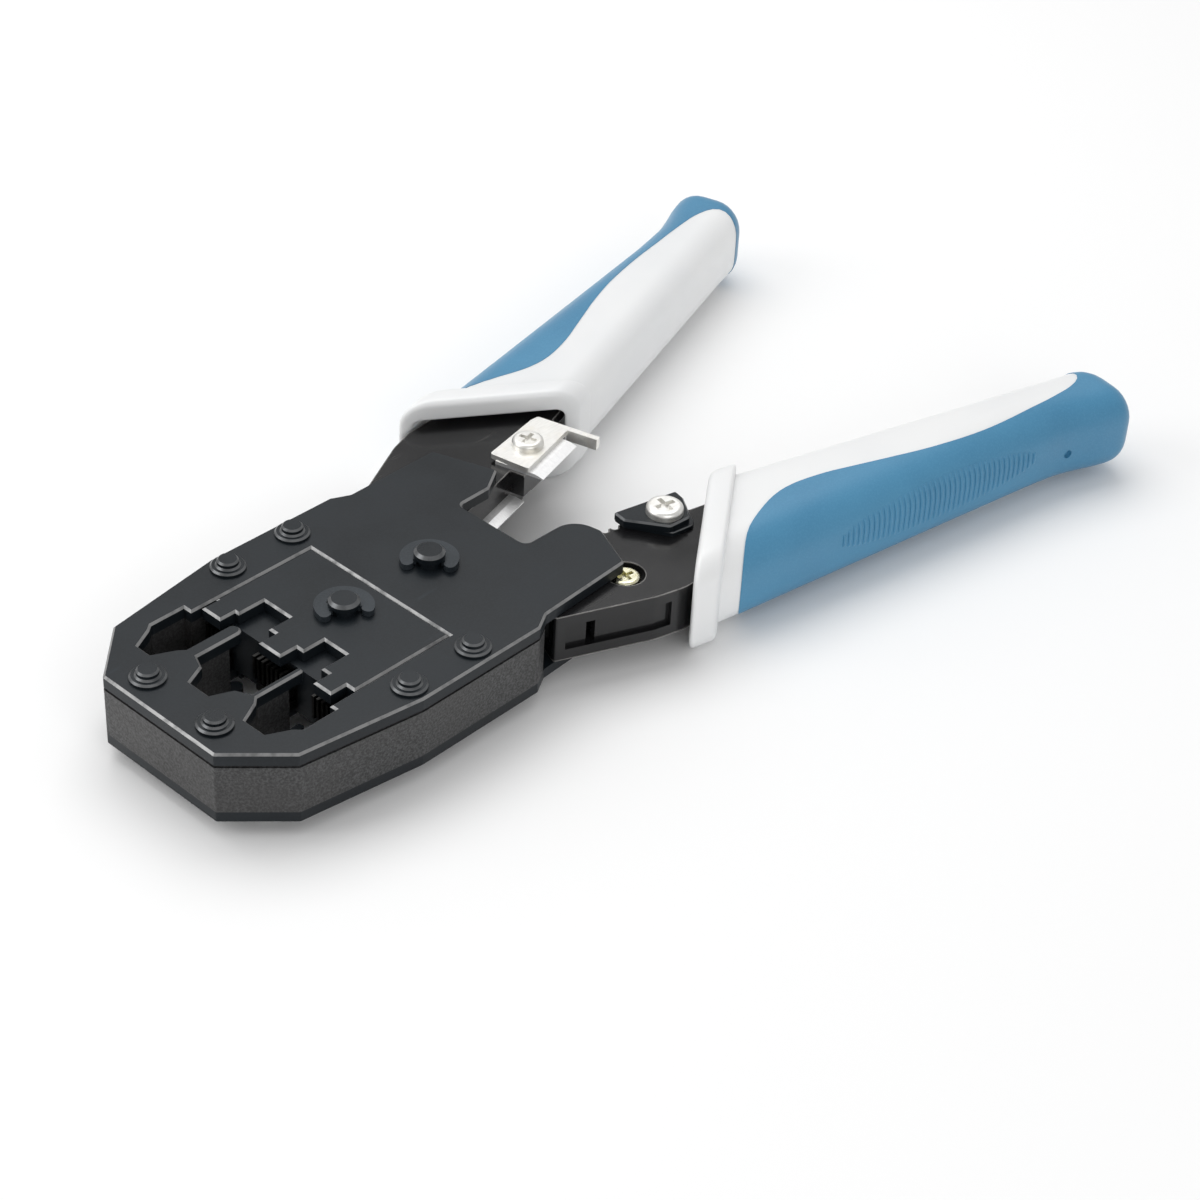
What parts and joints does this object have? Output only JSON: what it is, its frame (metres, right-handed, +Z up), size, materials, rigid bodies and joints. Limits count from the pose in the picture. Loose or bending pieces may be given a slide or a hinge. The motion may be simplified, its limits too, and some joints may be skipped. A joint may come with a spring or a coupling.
{
  "type": "modular plug crimping tool",
  "caption": "Hand crimping tool: flat plated head with plug windows and a sliding die, two black arms with blades, and two-colour grips, lying flat with its handles open.",
  "frame": {"origin": "main pivot pin's axis, on the plane that the tool lies on", "axes": "+X along the tool, from the head towards the handles; +Y towards the fixed handle; +Z up, along the pivot pin"},
  "size_m": [0.1814, 0.1037, 0.018],
  "materials": {
    "plate_black": "satin black oxide with bright edges",
    "frame_cast": "grainy cast, painted dark",
    "arm_gloss_black": "gloss black enamel",
    "lever_black": "black oxide",
    "hardware_black": "satin black oxide",
    "clip_black": "phosphated spring steel",
    "die_steel": "dark tool steel",
    "blade_steel": "ground steel",
    "nickel_plate": "nickel plated",
    "zinc_yellow": "yellow passivated zinc",
    "spring_steel": "spring wire",
    "grip_white": "smooth moulded plastic",
    "grip_blue": "soft overmoulded elastomer"
  },
  "bodies": {
    "head": {"top_plate": "plate_black", "bottom_plate": "plate_black", "head_frame": "frame_cast", "head_rivets": "hardware_black", "main_pivot_pin": "hardware_black", "pivot_e_clips": "clip_black", "fixed_arm": "arm_gloss_black", "return_spring": "spring_steel", "cutter_blade": "blade_steel", "cutter_screw": "nickel_plate", "stripping_blade": "blade_steel", "blade_bracket": "nickel_plate", "bracket_screw": "nickel_plate", "fixed_grip_shell": "grip_white", "fixed_grip_overmould": "grip_blue"},
    "moving_handle": {"cam_lever": "lever_black", "moving_arm": "arm_gloss_black", "arm_clamp_screw": "zinc_yellow", "counter_blade": "hardware_black", "anvil_bracket": "hardware_black", "anvil_screw": "nickel_plate", "moving_grip_shell": "grip_white", "moving_grip_overmould": "grip_blue"},
    "die_slide": {"die_top_plate": "plate_black", "die_bottom_plate": "plate_black", "die_core": "plate_black", "die_insert_8p": "die_steel", "die_insert_6p": "die_steel", "die_insert_4p": "die_steel", "die_pin": "hardware_black", "die_pin_e_clips": "clip_black"}
  },
  "joints": [
    {"name": "handle_hinge", "type": "hinge", "parent": "head", "child": "moving_handle", "pos_m": [0, 0, 0.009], "axis": [0, 0, 1], "range_deg": [0, 28], "stiffness_Nm_per_rad": 0.3, "springref_deg": -28.65, "deforming": ["return_spring"]},
    {"name": "die_travel", "type": "slide", "parent": "head", "child": "die_slide", "axis": [-1, 0, 0], "range_m": [0, 0.00425]}
  ],
  "couplings": [
    {"joint": "die_travel", "follows": "handle_hinge", "m_per_rad": 0.0085944}
  ]
}
